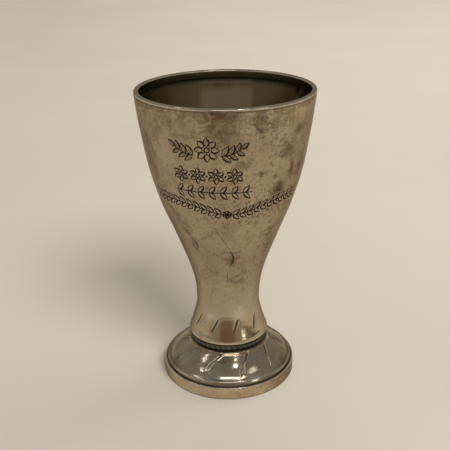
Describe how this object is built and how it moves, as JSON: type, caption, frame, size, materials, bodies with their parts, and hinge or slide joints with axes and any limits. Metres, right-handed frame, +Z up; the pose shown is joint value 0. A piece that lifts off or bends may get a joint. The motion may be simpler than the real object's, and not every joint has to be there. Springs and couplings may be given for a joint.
{
  "type": "cup trophy",
  "caption": "Small footed prize cup with a tapering bowl, a flared chased calyx, a milled collar and a domed, swirl-chased foot on a plain band.",
  "frame": {"origin": "centre of the flat underside of the base band, on the surface that the cup stands on", "axes": "+Z up out of the mouth, -Y towards the engraved front"},
  "size_m": [0.0683, 0.0682, 0.12],
  "materials": {
    "cup_metal": "aged nickel silver, warm grey with mottled yellow-brown tarnish, satin",
    "bead_metal": "nickel silver polished by handling on its crown, dull below",
    "collar_metal": "nickel silver with dark tarnish in milled notches",
    "foot_metal": "nickel silver, brighter and smoother than the bowl, dark in the chased grooves",
    "band_metal": "nickel silver strip, brown tarnish, worn edges",
    "solder": "dull grey hard solder"
  },
  "bodies": {
    "root": {"bowl_shell": "cup_metal", "lip_bead": "bead_metal", "lip_seam": "solder", "bowl_floor": "cup_metal", "floor_seam": "solder", "collar_ring": "collar_metal", "collar_upper_seam": "solder", "collar_lower_seam": "solder", "foot_dome": "foot_metal", "foot_band": "band_metal", "foot_band_seam": "solder"}
  },
  "joints": []
}
